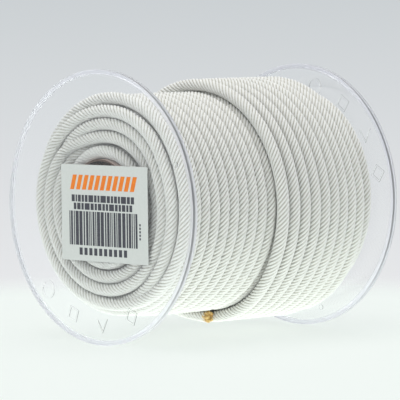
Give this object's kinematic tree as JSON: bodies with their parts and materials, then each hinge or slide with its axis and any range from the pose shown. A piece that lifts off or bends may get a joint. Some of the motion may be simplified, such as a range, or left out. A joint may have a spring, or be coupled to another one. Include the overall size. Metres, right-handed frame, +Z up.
{
  "type": "cord reel",
  "caption": "Wide clear plastic reel with a cardboard core, wound in layers with thick white twisted cord; a paper label covers one end of its spindle bore.",
  "frame": {"origin": "on the surface that the two rims stand on, under the middle of the reel", "axes": "+Y along the reel's axis from the labelled flange to the plain one; +Z up"},
  "size_m": [0.088, 0.092, 0.088],
  "materials": {
    "clear_plastic": "clear injection-moulded polystyrene, glossy",
    "core_board": "brown kraft board, matt",
    "tape": "thin double-sided tape",
    "cord": "white twisted yarn, soft sheen",
    "seal_glue": "amber hot-melt adhesive, slightly glossy",
    "label_paper": "coated paper sticker, printed"
  },
  "bodies": {
    "root": {"front_flange": "clear_plastic", "rear_flange": "clear_plastic", "core_tube": "core_board", "start_tape": "tape", "wound_cord": "cord", "cord_tail": "cord", "end_seal": "seal_glue", "label": "label_paper"}
  },
  "joints": []
}
